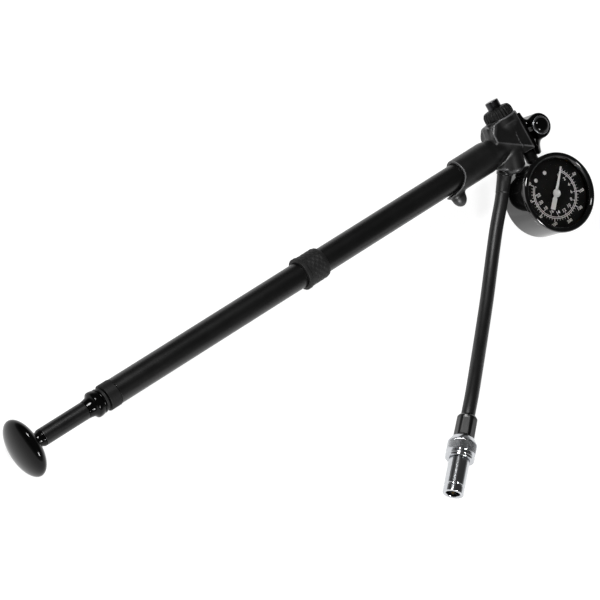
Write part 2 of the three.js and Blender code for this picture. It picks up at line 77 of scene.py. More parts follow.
# %% The pump's frame and the chuck's frame
MM = 0.001
COLLAR_FACE = (-0.14295, 0.01952, 0.02082)
SLOPE = math.radians(2.7)
ROLL = math.radians(67.7)
PUMP = (
    Matrix.Translation(COLLAR_FACE)
    @ Matrix.Rotation(-SLOPE, 4, "Y")
    @ Matrix.Rotation(-ROLL, 4, "X")
)
CHUCK_MIDDLE = Vector((0.0248, -0.1179, 0.0093))
CHUCK_WAY = Vector((-0.7609, -0.643, -0.0872)).normalized()
CHUCK = (
    Matrix.Translation(CHUCK_MIDDLE)
    @ Vector((1, 0, 0)).rotation_difference(CHUCK_WAY).to_matrix().to_4x4()
)
print("the pump's x axis in the row frame", [round(v, 4) for v in PUMP.col[0][:3]])

# %% [markdown]
# The camera stands high over the handle's side and looks down the pump through a long lens, so lines
# stay almost parallel. It is turned a little, and so the table's horizon isn't level.

# %% Camera
LENS = 172.9
EYE_AT = Vector((-0.81891, -0.37932, 1.46368))
RIGHT = Vector((0.74703, -0.61274, 0.25788))
UP = Vector((0.46064, 0.75678, 0.46378))
BACK = RIGHT.cross(UP)
camera = bpy.data.objects.new("camera", bpy.data.cameras.new("camera"))
camera.data.lens = LENS
camera.data.sensor_width = 36
camera.data.clip_end = 20
camera.matrix_world = Matrix.Translation(EYE_AT) @ Matrix((RIGHT, UP, BACK)).transposed().to_4x4()
bpy.context.scene.collection.objects.link(camera)
bpy.context.scene.camera = camera

# %% [markdown]
# The hose is a fixed length of stiff rubber. It leaves the head pointing down, comes within a
# millimetre of the table in the middle, and rises again to the chuck, whose collar is thicker than the
# hose. A smooth curve through a few points gives that route, and the hose and its relief follow it.

# %% The hose's route
HOSE_RADIUS = 4.2
HOSE_POINTS = MM * np.array(
    [
        [163.1, 6.4, 24.8],
        [160.9, 3.7, 22.8],
        [154.1, -4.2, 18.0],
        [142.9, -15.2, 12.2],
        [132.3, -25.9, 8.2],
        [121.1, -36.9, 5.7],
        [108.9, -48.3, 4.6],
        [96.0, -59.6, 4.6],
        [81.9, -71.3, 6.2],
        [66.8, -83.2, 9.6],
        [52.7, -94.6, 11.5],
        [44.9, -100.9, 11.6],
        [41.7, -103.6, 11.2],
    ]
)


def smooth_route(points, steps=12):
    """Centripetal Catmull-Rom: between two points, a cubic whose end slopes come from the neighbours,
    with each span's time the square root of its length. steps samples a span."""
    ends = np.vstack([2 * points[0] - points[1], points, 2 * points[-1] - points[-2]])
    gap = np.sqrt(np.linalg.norm(np.diff(ends, axis=0), axis=1))[:, None]
    step = np.diff(ends, axis=0) / gap
    slope = step[:-1] - (ends[2:] - ends[:-2]) / (gap[:-1] + gap[1:]) + step[1:]
    span = gap[1:-1, None]
    t = np.linspace(0, 1, steps, endpoint=False)[None, :, None]
    a, b = points[:-1, None], points[1:, None]
    slope_a, slope_b = slope[:-1, None] * span, slope[1:, None] * span
    curve = (
        (2 * t**3 - 3 * t**2 + 1) * a
        + (t**3 - 2 * t**2 + t) * slope_a
        + (3 * t**2 - 2 * t**3) * b
        + (t**3 - t**2) * slope_b
    )
    return np.vstack([curve.reshape(-1, 3), points[-1:]])


HOSE_PATH = smooth_route(HOSE_POINTS)

# %% [markdown]
# Colours are written as sRGB hex, the way a paint chart gives them, and turned to linear light once.
# One helper adds a shader node, sets it and links it. A material starts with its surface shader and a
# coordinate in metres on the object, so a pattern's scale is one over its real size.

# %% Material helpers


def linear(hex_colour):
    """sRGB hex to linear: a straight part near black, then a power of 2.4."""
    srgb = np.array([int(hex_colour[i : i + 2], 16) for i in (1, 3, 5)]) / 255
    value = np.where(srgb <= 0.04045, srgb / 12.92, ((srgb + 0.055) / 1.055) ** 2.4)
    return (*value.tolist(), 1.0)


def add_node(tree, kind, inputs=None, **settings):
    """Adds one shader node. An input is a plain value, or another node's socket to link."""
    made = tree.nodes.new("ShaderNode" + kind)
    for key, value in settings.items():
        setattr(made, key, value)
    for key, value in (inputs or {}).items():
        if isinstance(value, bpy.types.NodeSocket):
            tree.links.new(value, made.inputs[key])
        else:
            made.inputs[key].default_value = value
    return made


def new_material(name, colour, roughness, **surface):
    """A material with its shader, returned with its node tree and the object coordinate."""
    material = bpy.data.materials.new(name)
    material.use_nodes = True
    tree = material.node_tree
    shader = tree.nodes["Principled BSDF"]
    shader.inputs["Base Color"].default_value = linear(colour)
    shader.inputs["Roughness"].default_value = roughness
    for key, value in surface.items():
        shader.inputs[key.replace("_", " ")].default_value = value
    place = add_node(tree, "TexCoord").outputs["Object"]
    return material, tree, shader, place


def vary_roughness(tree, shader, pattern, low, high):
    """Spreads a 0 to 1 pattern between two values of roughness."""
    inputs = {"Value": pattern, "To Min": low, "To Max": high}
    tree.links.new(add_node(tree, "MapRange", inputs).outputs["Result"], shader.inputs["Roughness"])


def add_relief(tree, shader, height, depth_mm, strength):
    """Lets a height pattern of a real depth tilt the surface's normals."""
    inputs = {"Height": height, "Distance": depth_mm * MM, "Strength": strength}
    made = add_node(tree, "Bump", inputs)
    tree.links.new(made.outputs["Normal"], shader.inputs["Normal"])


def mottle(tree, place, size_mm, detail, stretch=(1, 1, 1)):
    """Noise whose blobs are about size_mm across, drawn out along the axes where stretch is small."""
    turned_place = add_node(tree, "Mapping", {"Vector": place, "Scale": stretch})
    inputs = {"Vector": turned_place.outputs["Vector"], "Scale": 1 / (size_mm * MM), "Detail": detail}
    return add_node(tree, "TexNoise", inputs).outputs["Fac"]


# %% [markdown]
# The knob, bell and end cap are glossy ABS, moulded in a polished steel tool. It is almost black, so
# what the eye reads is a sharp reflection, with a faint waviness from the mould and a few fine rubs
# that dull it in patches. The gauge's case and bezel are pressed steel in black enamel.

# %% Polished black ABS and black enamel


def polished_abs():
    """ABS has an index near 1.53. A lower one is set, so that the black mirrors less white table."""
    material, tree, shader, place = new_material("abs_moulded_polished_black", "#040404", 0.08, IOR=1.26)
    rubs = mottle(tree, place, 9, 5)
    vary_roughness(tree, shader, rubs, 0.05, 0.14)
    add_relief(tree, shader, mottle(tree, place, 14, 1), 0.02, 0.35)
    return material


def black_enamel():
    """Stoved enamel on pressed steel: thicker and glassier than the moulded plastic, so it mirrors the
    table, with the slight orange peel that enamel dries to."""
    material, tree, shader, place = new_material("steel_pressed_black_enamel", "#040404", 0.06, IOR=1.6)
    vary_roughness(tree, shader, mottle(tree, place, 6, 4), 0.04, 0.12)
    add_relief(tree, shader, mottle(tree, place, 1.6, 2), 0.01, 0.3)
    return material


ABS = polished_abs()
ENAMEL = black_enamel()
print("made", ABS.name, "and", ENAMEL.name)


# %% [markdown]
# The barrel and stem are drawn aluminium tube, anodised black. The dye sits in a thin glassy layer over
# the drawn metal, so the tube keeps a satin sheen with streaks along its length, 0.3 mm wide here so
# that they show, and the dye is a little cloudy.

# %% Black anodised tube


def anodised_tube():
    material, tree, shader, place = new_material("aluminium_drawn_anodised_black", "#0a0a0a", 0.34, IOR=1.42)
    streaks = mottle(tree, place, 0.3, 3, (0.03, 1, 1))
    clouds = mottle(tree, place, 22, 3)
    mixed = add_node(tree, "Math", {0: streaks, 1: clouds}, operation="MULTIPLY").outputs[0]
    vary_roughness(tree, shader, mixed, 0.26, 0.5)
    shades = {"Fac": clouds, "Color1": linear("#040404"), "Color2": linear("#090909")}
    dye = add_node(tree, "MixRGB", shades)
    tree.links.new(dye.outputs["Color"], shader.inputs["Base Color"])
    add_relief(tree, shader, streaks, 0.006, 0.5)
    return material


ANODISED = anodised_tube()
print("made", ANODISED.name)


# %% [markdown]
# The head is a zinc casting with a baked matt coat. The coat has a grain like fine sandpaper. Along its
# convex edges its colour is mixed towards grey: partly rub wear, and partly a painted highlight standing
# in for the bright line that light draws along the edges. How convex the casting is at each point is
# worked out with its surface below and kept as an attribute called edge.

# %% Coated casting


def coated_casting():
    material, tree, shader, place = new_material("zinc_cast_powder_coated_black", "#0d0d0d", 0.4, IOR=1.45)
    grain = mottle(tree, place, 0.45, 4)
    clouds = mottle(tree, place, 7, 3)
    edge = add_node(tree, "Attribute", attribute_name="edge").outputs["Fac"]
    patchy = add_node(tree, "Math", {0: clouds, 1: 0.35}, operation="ADD").outputs[0]
    # Mask for the convex edges: partly rub wear, partly a painted edge highlight.
    edge_wear_and_highlight = add_node(tree, "Math", {0: edge, 1: patchy}, operation="MULTIPLY", use_clamp=True).outputs[0]
    shades = {"Fac": clouds, "Color1": linear("#060606"), "Color2": linear("#0e0e0e")}
    coat = add_node(tree, "MixRGB", shades).outputs["Color"]
    # The coat mixed towards grey on the edges: rub wear and a painted edge highlight.
    rubbed_and_highlit = add_node(tree, "MixRGB", {"Fac": edge_wear_and_highlight, "Color1": coat, "Color2": linear("#5c5c5d")})
    tree.links.new(rubbed_and_highlit.outputs["Color"], shader.inputs["Base Color"])
    vary_roughness(tree, shader, clouds, 0.32, 0.46)
    add_relief(tree, shader, grain, 0.03, 0.4)
    return material


CASTING = coated_casting()
print("made", CASTING.name)


# %% [markdown]
# The end collar and the bleed cap are nylon with a spark-eroded grain, which scatters light to a soft
# black. Its index is set below nylon's 1.53 too.

# %% Grained nylon


def grained_nylon():
    material, tree, shader, place = new_material("nylon_moulded_spark_grain_black", "#030303", 0.42, IOR=1.3)
    grain = mottle(tree, place, 0.3, 3)
    vary_roughness(tree, shader, mottle(tree, place, 6, 3), 0.45, 0.65)
    add_relief(tree, shader, grain, 0.025, 0.5)
    return material


NYLON = grained_nylon()
print("made", NYLON.name)


# %% [markdown]
# Rubber is moulded and dusted with talc. It hardly reflects, and its low spots hold a grey bloom. The
# hose is extruded, so its marks run along it, and its cover is smoother than the moulded band's.

# %% Moulded and extruded rubber


def moulded_rubber():
    material, tree, shader, place = new_material("rubber_moulded_black", "#080808", 0.6, IOR=1.36)
    grain = mottle(tree, place, 0.5, 4)
    bloom = mottle(tree, place, 5, 4)
    shades = {"Fac": bloom, "Color1": linear("#040404"), "Color2": linear("#0e0e0e")}
    tone = add_node(tree, "MixRGB", shades)
    tree.links.new(tone.outputs["Color"], shader.inputs["Base Color"])
    add_relief(tree, shader, grain, 0.06, 0.7)
    return material


def hose_rubber():
    material, tree, shader, place = new_material("rubber_extruded_hose_cover", "#0c0c0c", 0.36, IOR=1.42)
    down_hose = add_node(tree, "UVMap").outputs["UV"]
    lines = mottle(tree, down_hose, 1.2, 3, (1, 0.05, 1))
    vary_roughness(tree, shader, mottle(tree, place, 8, 3), 0.34, 0.52)
    add_relief(tree, shader, lines, 0.03, 0.5)
    return material


RUBBER = moulded_rubber()
HOSE_RUBBER = hose_rubber()
print("made", RUBBER.name, "and", HOSE_RUBBER.name)


# %% [markdown]
# The chuck is brass with bright chrome plate: nearly a mirror, with a cool cast and a few fine wipes.
# Screws and washers are plain steel, and the parts inside are turned brass.

# %% Plated and bare metals


def bright_chrome():
    material, tree, shader, place = new_material("brass_chrome_plated", "#bfc1c4", 0.1, Metallic=1.0)
    wipes = mottle(tree, place, 0.5, 3, (1, 1, 0.1))
    vary_roughness(tree, shader, wipes, 0.06, 0.2)
    add_relief(tree, shader, wipes, 0.004, 0.4)
    return material


def turned_finish(name, colour, roughness, metallic=1.0):
    """The fine marks that a lathe tool leaves, 0.4 mm apart, on a metal or a hard plastic."""
    material, tree, shader, place = new_material(name, colour, roughness, Metallic=metallic)
    marks = mottle(tree, place, 0.4, 3)
    vary_roughness(tree, shader, marks, roughness * 0.7, roughness * 1.4)
    add_relief(tree, shader, marks, 0.008, 0.5)
    return material


CHROME = bright_chrome()
STEEL = turned_finish("steel_turned", "#a5a7aa", 0.3)
BRASS = turned_finish("brass_turned", "#b8924e", 0.28)
SATIN = turned_finish("aluminium_turned_dark_anodised", "#3a3a3c", 0.28)
ACETAL = turned_finish("acetal_turned_white", "#d8d8d2", 0.5, metallic=0.0)
print("made", ", ".join(finish.name for finish in (CHROME, STEEL, BRASS, SATIN, ACETAL)))


# %% [markdown]
# The gauge has a black printed dial behind a clear lens. The ink is matt with a faint tooth, the marks
# are off-white ink, and the needle is lacquered sheet aluminium.

# %% Gauge materials


def printed_dial():
    material, tree, shader, place = new_material("aluminium_printed_matt_black", "#060606", 0.5, IOR=1.35)
    add_relief(tree, shader, mottle(tree, place, 0.25, 2), 0.01, 0.3)
    vary_roughness(tree, shader, mottle(tree, place, 4, 2), 0.42, 0.6)
    return material


def worn_white(name):
    """White ink or lacquer, a little greyer where it is worn."""
    material, tree, shader, place = new_material(name, "#f4f4f2", 0.45)
    wear = mottle(tree, place, 1.5, 3)
    shades = {"Fac": wear, "Color1": linear("#ececea"), "Color2": linear("#fbfbfa")}
    tone = add_node(tree, "MixRGB", shades)
    tree.links.new(tone.outputs["Color"], shader.inputs["Base Color"])
    return material


def clear_lens():
    """Polycarbonate has an index of 1.58. With 1.1 a lamp's mirror image doesn't hide the dial."""
    material, tree, shader, place = new_material(
        "polycarbonate_clear", "#ffffff", 0.03, IOR=1.1, Transmission_Weight=1.0
    )
    add_relief(tree, shader, mottle(tree, place, 12, 1), 0.01, 0.2)
    return material


DIAL = printed_dial()
INK = worn_white("ink_screen_printed_white")
LACQUER = worn_white("aluminium_lacquered_white")
LENS_CLEAR = clear_lens()
print("made", ", ".join(finish.name for finish in (DIAL, INK, LACQUER, LENS_CLEAR)))

# %% [markdown]
# The record names a material slot for every node, and each slot has one finish here. The nodes that no
# new piece replaces, such as the rod and the valves, show with it.

# %% A finish for every slot
SLOT_FINISH = {
    "gloss_black_plastic": ABS,
    "black_anodised": ANODISED,
    "black_casting": CASTING,
    "black_plastic": NYLON,
    "black_rubber": RUBBER,
    "hose_rubber": HOSE_RUBBER,
    "chrome_plate": CHROME,
    "steel": STEEL,
    "brass": BRASS,
    "dial_face": DIAL,
    "needle_white": LACQUER,
    "bush_plastic": ACETAL,
    "lens": LENS_CLEAR,
}
NODE_SLOT = {row["node"]: row["material_slot"] for row in frame["record"]["subparts"]}
for node_name, cad_object in frame["nodes"].items():
    cad_object.data.materials.clear()
    cad_object.data.materials.append(SLOT_FINISH[NODE_SLOT[node_name]])
print(len(NODE_SLOT), "CAD nodes have their finish")

# %% [markdown]
# A new piece is a mesh made from arrays of points and faces, with its place already in its points, so
# its object stays at the origin. It rides on the body of the CAD node that it stands for.

# %% Making a piece


def merge_doubles(mesh, distance):
    """Welds points that lie within a distance of each other."""
    work = bmesh.new()
    work.from_mesh(mesh)
    bmesh.ops.remove_doubles(work, verts=work.verts, dist=distance)
    work.to_mesh(mesh)
    work.free()


def make_piece(name, points, faces, place, node_names, material=None, body=None, weld=True, normals=None):
    """Puts points (in the given frame's millimetres) and faces into a mesh, welds its seam and poles,
    and lets it replace the named CAD nodes."""
    matrix = np.array(place)
    world = points @ (matrix[:3, :3].T * MM) + matrix[:3, 3]
    mesh = bpy.data.meshes.new(name)
    mesh.from_pydata(world.tolist(), [], faces.tolist() if hasattr(faces, "tolist") else faces)
    if weld:
        merge_doubles(mesh, 0.002 * MM)
    mesh.shade_smooth()
    if normals is not None:
        mesh.normals_split_custom_set_from_vertices((normals @ matrix[:3, :3].T).tolist())
    piece = bpy.data.objects.new(name, mesh)
    bpy.context.scene.collection.objects.link(piece)
    owner = body or frame["nodes"][node_names[0]]["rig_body"]
    slot = NODE_SLOT[node_names[0]] if node_names else "needle_white"
    mesh.materials.append(material or SLOT_FINISH[slot])
    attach(piece, owner)
    if node_names:
        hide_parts(*node_names)
    print("made", name, len(mesh.polygons), "faces")
    return piece


# %% [markdown]
# A turned piece is a profile spun about an axis. The profile is given by its corners, each with the
# radius of its edge, because no real edge is perfectly sharp: that small round catches the light and
# is what makes a turned part look turned.

# %% Turning a profile


def rounded(corners, ring=True, steps=5):
    """Corners [x, radius, edge] to a line of points. Each corner is a quadratic arc that starts and
    ends at most its edge radius away along the two sides."""
    corner = np.array(corners, float)
    points, edge = corner[:, :2], corner[:, 2]
    before, after = np.roll(points, 1, 0) - points, np.roll(points, -1, 0) - points
    reach_a = np.linalg.norm(before, axis=1) + 1e-9
    reach_b = np.linalg.norm(after, axis=1) + 1e-9
    cut = np.minimum(edge, 0.45 * np.minimum(reach_a, reach_b))
    if not ring:
        cut[[0, -1]] = 0
    a = points + before * (cut / reach_a)[:, None]
    b = points + after * (cut / reach_b)[:, None]
    t = np.linspace(0, 1, steps)[None, :, None]
    arcs = (1 - t) ** 2 * a[:, None] + 2 * t * (1 - t) * points[:, None] + t**2 * b[:, None]
    line = arcs.reshape(-1, 2)
    keep = np.linalg.norm(np.diff(line, axis=0, prepend=line[:1] - 1), axis=1) > 1e-6
    return line[keep]


def spin(profile, sides=96, ring=True, relief=None):
    """Point (x, r) at angle q goes to (x, r cos q, r sin q). relief adds a height to r, from x, q and
    r. A ring's profile closes on itself; a core's starts and ends on the axis."""
    line = np.vstack([profile, profile[:1]]) if ring else profile
    area = np.sum(line[:-1, 0] * line[1:, 1] - line[1:, 0] * line[:-1, 1])
    if area > 0:
        line = line[::-1]
    angle = np.linspace(0, 2 * np.pi, sides, endpoint=False)
    x = np.repeat(line[:, :1], sides, 1)
    radius = np.repeat(line[:, 1:], sides, 1)
    if relief is not None:
        radius = radius + relief(x, angle[None, :], radius)
    points = np.stack([x, radius * np.cos(angle), radius * np.sin(angle)], -1).reshape(-1, 3)
    row = np.arange(len(line) - 1)[:, None] * sides
    column = np.arange(sides)[None, :]
    turn = (column + 1) % sides
    faces = np.stack([row + column, row + turn, row + sides + turn, row + sides + column], -1)
    return points, faces.reshape(-1, 4)


def keep_flats_flat(piece):
    """Weights each corner's normal by its faces' areas, so a flat stays flat up to its round edge."""
    modifier = piece.modifiers.new("flats", "WEIGHTED_NORMAL")
    modifier.keep_sharp = True
    modifier.weight = 80


def turned_piece(name, corners, node_names, place=PUMP, ring=True, sides=96, relief=None, **options):
    """A piece from a profile's corners: rounded, then spun about the x axis of a place."""
    profile = rounded(corners, ring)
    points, faces = spin(profile, sides, ring, relief)
    piece = make_piece(name, points, faces, place, node_names, **options)
    keep_flats_flat(piece)
    return piece


def along(way, at=(0, 0, 0), base=PUMP):
    """The frame of a piece that is turned about another axis of the base frame, through a point."""
    turn = Vector((1, 0, 0)).rotation_difference(Vector(way).normalized()).to_matrix().to_4x4()
    return base @ Matrix.Translation(Vector(at) * MM) @ turn


# %% [markdown]
# The handle: a flattened ball for the palm, a stem, and a bell that closes on the end collar. The ball
# is an ellipse spun about the pump's axis, with a small flared hub where it meets the stem.

# %% Handle
KNOB_CENTRE, KNOB_HALF, KNOB_RADIUS = -56.2, 7.1, 18.2
ball_angle = np.linspace(np.pi, math.radians(13), 60)
ball = np.stack([KNOB_CENTRE + KNOB_HALF * np.cos(ball_angle), KNOB_RADIUS * np.sin(ball_angle)], 1)
hub_t = np.linspace(0, 1, 12)
hub = np.stack([-49.2 + 4.2 * hub_t, 4.1 + 1.15 * hub_t**2.4], 1)
hub_end = rounded(
    [[-45, 5.25, 0], [-44.3, 5.3, 0.25], [-44.3, 3.3, 0.1], [-52.3, 3.3, 0.1], [-52.3, 0, 0]], ring=False
)
points, faces = spin(np.vstack([ball, hub, hub_end]), 128, ring=False)
make_piece("knob_ball", points, faces, PUMP, ["palm_knob"])

turned_piece(
    "stem_sleeve",
    [[-44, 3.3, 0.1], [-44, 5.3, 0.35], [-13.6, 5.3, 0.2], [-13.6, 3.3, 0.1]],
    ["handle_stem"],
)
BELL = [
    [-13.3, 3.3, 0.1],
    [-13.3, 5.35, 0.2],
    [-12.2, 5.5, 1.0],
    [-9.4, 6.1, 2.4],
    [-8.0, 8.05, 0.9],
    [-6.2, 8.05, 0.5],
    [-4.9, 7.75, 0.3],
    [-4.0, 7.6, 0.35],
    [-4.0, 3.3, 0.1],
]
turned_piece("bell_flare", BELL, ["handle_bell"])
turned_piece(
    "bell_ring", [[-3.7, 3.3, 0.1], [-3.7, 7.55, 0.35], [-2.4, 7.55, 0.35], [-2.4, 3.3, 0.1]], ["stop_ring"]
)
turned_piece(
    "bell_bumper",
    [[-2.1, 3.3, 0.1], [-2.1, 6.9, 0.4], [-0.3, 6.9, 0.4], [-0.3, 3.3, 0.1]],
    ["bumper_washer"],
)

# %% [markdown]
# The barrel is a plain tube between two collars. The rubber band in the middle was moulded over it: a
# square lip on the handle's side, low blocks to grip, and a shoulder that rounds down to the tube.

# %% Barrel, end collar and rubber band
BAND_RADIUS = 9.75
BLOCKS_FROM, BLOCKS_TO = 150.6, 160.6
BLOCK_LENGTH, BLOCKS_ROUND, BLOCK_FADE = 3.3, 14, 0.6
turned_piece(
    "barrel_tube",
    [[7.6, 6.9, 0.2], [7.6, 7.9, 0.25], [300, 7.9, 0.25], [300, 6.9, 0.2]],
    ["barrel"],
    sides=128,
)
turned_piece(
    "collar_turned",
    [
        [0, 4.6, 0.2],
        [0, 8.2, 0.45],
        [7.3, 8.2, 0.3],
        [7.3, 6.6, 0.1],
        [16, 6.6, 0.3],
        [16, 4.6, 0.2],
    ],
    ["end_collar"],
)
BAND = [
    [146.8, 8.2, 0.1],
    [146.8, 10.2, 0.4],
    [149.3, 10.2, 0.4],
    [149.7, BAND_RADIUS, 0.2],
    [161.2, BAND_RADIUS, 0.9],
    [163.2, 9.2, 1.0],
    [163.7, 8.2, 0.2],
]


def band_blocks(x, angle, radius):
    """Low moulded blocks round the band: a product of waves in x and angle, 0.12 mm deep, squeezed so
    that the tops stay flat, on the outer face only."""
    outer = np.clip((radius - 9.4) * 4, 0, 1) * np.clip((x - BLOCKS_FROM) / BLOCK_FADE, 0, 1)
    outer = outer * np.clip((BLOCKS_TO - x) / BLOCK_FADE, 0, 1)
    wave = np.sin(2 * np.pi * (x - BLOCKS_FROM) / BLOCK_LENGTH) * np.sin(BLOCKS_ROUND * angle)
    return -0.12 * outer * np.clip(0.5 - 2.5 * wave, 0, 1)


band_profile = rounded(BAND)
dense = np.linspace(150.2, 160.8, 90)
split = int(np.argmax(band_profile[:, 0] > 150.5))
flat = np.stack([dense, np.full_like(dense, BAND_RADIUS)], 1)
band_line = np.vstack([band_profile[:split], flat, band_profile[split:]])
points, faces = spin(band_line, 168, relief=band_blocks)
make_piece("band_moulded", points, faces, PUMP, ["grip_band"])

# %% [markdown]
# The head is one casting: a sleeve, a block and two bosses that flow into each other. Flowing shapes
# are awkward to build from faces but easy to write as a distance field, a function that is negative
# inside and grows outwards. Two fields joined with a soft minimum get a fillet where they meet. The
# surface is then found where the field is zero.

# %% Distance fields and surface nets


def soft_min(a, b, width):
    """The lower of two fields, with a fillet about width across where they are alike."""
    t = np.clip(0.5 + 0.5 * (b - a) / width, 0, 1)
    return b * (1 - t) + a * t - width * t * (1 - t)


def soft_max(a, b, width):
    """The higher of two fields, with the same fillet."""
    return -soft_min(-a, -b, width)


def rod_field(p, start, way, radius, low, high, edge=0.6):
    """A round bar from low to high along a line: distance from the line, cut by two planes."""
    way = np.array(way, float) / np.linalg.norm(way)
    offset = p - np.array(start, float)
    reach = offset @ way
    side = np.linalg.norm(offset - reach[..., None] * way, axis=-1) - radius
    return soft_max(side, np.maximum(low - reach, reach - high), edge)


def block_field(p, low, high, edge):
    """A box with rounded edges: distance to a smaller box, less the edge radius."""
    low, high = np.array(low, float) + edge, np.array(high, float) - edge
    outside = np.maximum(np.maximum(low - p, p - high), 0)
    inside = np.max(np.maximum(low - p, p - high), axis=-1)
    return np.linalg.norm(outside, axis=-1) + np.minimum(inside, 0) - edge


def slope_of(field, p, h=0.02):
    """The field's slope along x, y and z, from its values a little to each side."""
    steps = h * np.eye(3)
    return np.stack([field(p + s) - field(p - s) for s in steps], -1) / (2 * h)


def zero_surface(field, low, high, step):
    """Surface nets. Cells of a grid whose corners disagree about inside and outside get one point,
    each grid edge that crosses the surface gets a quad of its four cells, and every point then slides
    to the zero of the field, evened out between its neighbours. Returns points, quads, normals, and
    how sharp an edge each point is on: the sum of the field's second slopes, from 0 to 1."""
    axes = [np.arange(a, b + step, step) for a, b in zip(low, high)]
    grid = np.stack(np.meshgrid(*axes, indexing="ij"), -1)
    inside = field(grid) < 0
    count = sum(
        inside[i : i - 1 or None, j : j - 1 or None, k : k - 1 or None].astype(int)
        for i in (0, 1)
        for j in (0, 1)
        for k in (0, 1)
    )
    mixed = (count > 0) & (count < 8)
    index = np.full(mixed.shape, -1)
    index[mixed] = np.arange(mixed.sum())
    points = grid[:-1, :-1, :-1][mixed] + step / 2
    quads = []
    for axis in range(3):
        order = (axis, (axis + 1) % 3, (axis + 2) % 3)
        here, names = inside.transpose(order), index.transpose(order)
        i, j, k = np.nonzero(here[:-1, 1:-1, 1:-1] != here[1:, 1:-1, 1:-1])
        quad = np.stack([names[i, j, k], names[i, j + 1, k], names[i, j + 1, k + 1], names[i, j, k + 1]], 1)
        flip = ~here[i, j + 1, k + 1]
        quad[flip] = quad[flip, ::-1]
        quads.append(quad)
    quads = np.vstack(quads)
    edges = np.vstack([quads[:, [0, 1]], quads[:, [1, 2]], quads[:, [2, 3]], quads[:, [3, 0]]])
    for round_number in range(8):
        slope = slope_of(field, points)
        size = np.maximum((slope**2).sum(-1), 0.05)
        points = points - np.clip(field(points) / size, -step, step)[:, None] * slope
        if round_number < 5:
            total = np.zeros_like(points)
            np.add.at(total, edges[:, 0], points[edges[:, 1]])
            meets = np.bincount(edges[:, 0], minlength=len(points))[:, None]
            points = 0.5 * points + 0.5 * total / np.maximum(meets, 1)
    slope = slope_of(field, points)
    reach = 0.35 * np.eye(3)
    bend = sum(field(points + s) + field(points - s) for s in reach) - 6 * field(points)
    edge = np.clip((bend / 0.35**2 - 0.2) / 0.9, 0, 1)
    return points, quads, slope / np.maximum(np.linalg.norm(slope, axis=1), 1e-6)[:, None], edge


# %% [markdown]
# The sleeve's mouth is straight on top and sweeps forward underneath into a lip with a small hanging
# lug. The block behind it is flat in front, is cut square at its end, and has a ridge that slants down
# to its lower corner. The bleed valve's boss stands on it, the hose's boss leans out of its belly, and
# beside that a saddle reaches down over the gauge's case.

# %% Head casting
HEAD_END, HEAD_TOP, HEAD_BOTTOM, HEAD_FRONT, HEAD_BACK = 328.5, 15.7, -10, -8, 9
BLEED_X = 319.9
PORT_FROM, PORT_WAY = (317, 1, 0), (-0.56, 0.18, -0.81)
SADDLE_FROM, SADDLE_WAY = (317, 0, -2), (-0.3, 0, -0.95)
GAUGE_X, GAUGE_Z, GAUGE_RADIUS = 323.5, -40.8, 24.3


def head_field(p):
    """Sleeve, lug, block, boss, web, port and saddle, joined with fillets, cut off by the end's plane
    and bevel, less the bores. The sleeve narrows by a smooth step in x, the boss widens by one in z."""
    x, y, z = p[..., 0], p[..., 1], p[..., 2]
    narrowing = np.clip((x - 296) / 14, 0, 1)
    sleeve = np.hypot(y, z) - 10 + 2.9 * narrowing**2 * (3 - 2 * narrowing)
    sleeve = np.maximum(sleeve, x - 318)
    mouth = np.where(z > 3, 273.6 - x, 12 - np.hypot(x - 261.6, z - 3))
    sleeve = soft_max(sleeve, np.maximum(mouth, 261 - x), 0.4)
    lug = np.sqrt(((x - 267.2) / 4.9) ** 2 + (y / 3.9) ** 2 + ((z + 11.6) / 6.2) ** 2)
    sleeve = soft_min(sleeve, (lug - 1) * 4, 2.5)

    block = block_field(p, (305, HEAD_FRONT, HEAD_BOTTOM), (336, HEAD_BACK, HEAD_TOP), 0.7)
    shoulder = 0.62 * (z - 14) - 0.78 * (x - 307)
    block = soft_max(block, shoulder, 3)
    ridge = -0.72 * (y - HEAD_FRONT) - 0.37 * (x - 316) - 0.585 * (z + 2)
    block = soft_max(block, ridge, 0.4)
    rising = np.clip((z - 5) / 7, 0, 1)
    boss = np.hypot(x - BLEED_X, y) - 7.2 - 2.6 * rising**2 * (3 - 2 * rising)
    boss = soft_max(boss, np.maximum(-z, z - 16), 0.8)
    web = block_field(p, (305.6, -3.2, 4), (320, 3.2, 16.4), 1.6)
    port = rod_field(p, PORT_FROM, PORT_WAY, 6.6, 0, 17.5, 1.8)
    body = soft_min(block, boss, 1.6)
    body = soft_min(body, web, 1.6)
    body = soft_min(body, sleeve, 3)
    body = soft_min(body, port, 2)
    saddle = rod_field(p, SADDLE_FROM, SADDLE_WAY, 6.4, 0, 17.5, 2.4)
    over_case = GAUGE_RADIUS + 1 - np.hypot(x - GAUGE_X, z - GAUGE_Z)
    saddle = soft_max(saddle, np.maximum(over_case, x - 319.4), 0.6)
    body = soft_min(body, saddle, 1.6)
    bevel = ((x - HEAD_END) + (HEAD_FRONT - y) + 1.7) / math.sqrt(2)
    body = soft_max(body, np.maximum(x - HEAD_END, bevel), 0.4)

    bores = np.minimum.reduce(
        [
            rod_field(p, (0, 0, 0), (1, 0, 0), 8.2, 240, 300.3, 0.2),
            rod_field(p, (0, 0, 0), (1, 0, 0), 3.8, 299, 321, 0.2),
            rod_field(p, (BLEED_X, 0, 0), (0, 0, 1), 5.5, 6.5, 30, 0.2),
            rod_field(p, (BLEED_X, 0, 0), (0, 0, 1), 3.2, 0, 8, 0.2),
            rod_field(p, PORT_FROM, PORT_WAY, 4.5, 8, 30, 0.2),
        ]
    )
    return soft_max(body, -bores, 0.5)


points, faces, normals, edge = zero_surface(head_field, (259, -12, -21), (330, 12.5, 18.5), 0.45)
head = make_piece("head_casting", points, faces, PUMP, ["head_body"], weld=False, normals=normals)
head.data.attributes.new("edge", "FLOAT", "POINT").data.foreach_set("value", edge)

